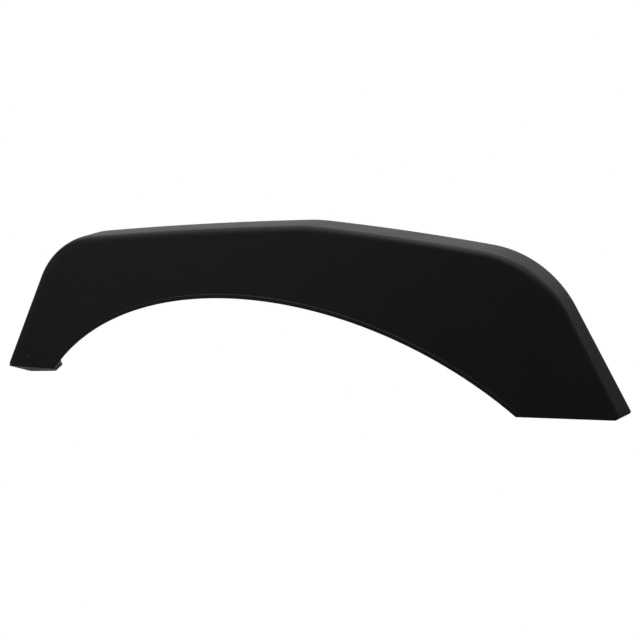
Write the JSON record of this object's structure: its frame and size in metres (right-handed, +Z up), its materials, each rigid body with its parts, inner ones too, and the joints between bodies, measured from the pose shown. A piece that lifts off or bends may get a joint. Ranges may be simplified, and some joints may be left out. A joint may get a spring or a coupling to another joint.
{
  "type": "wheel arch trim",
  "caption": "One-piece moulded wheel arch trim: flat face, side wall turned back to the body, arched wheel opening with a raised bead, and a fixing lip with clip holes.",
  "frame": {"origin": "on the body plane, in the middle of the fixing lip under the apex of the outline", "axes": "+X along the vehicle side, to the right when the visible face is looked at; +Y into the vehicle body; +Z up"},
  "size_m": [1.0709, 0.0656, 0.2928],
  "materials": {
    "black_plastic": "satin, fine moulded grain"
  },
  "bodies": {
    "root": {"arch_trim": "black_plastic"}
  },
  "joints": []
}
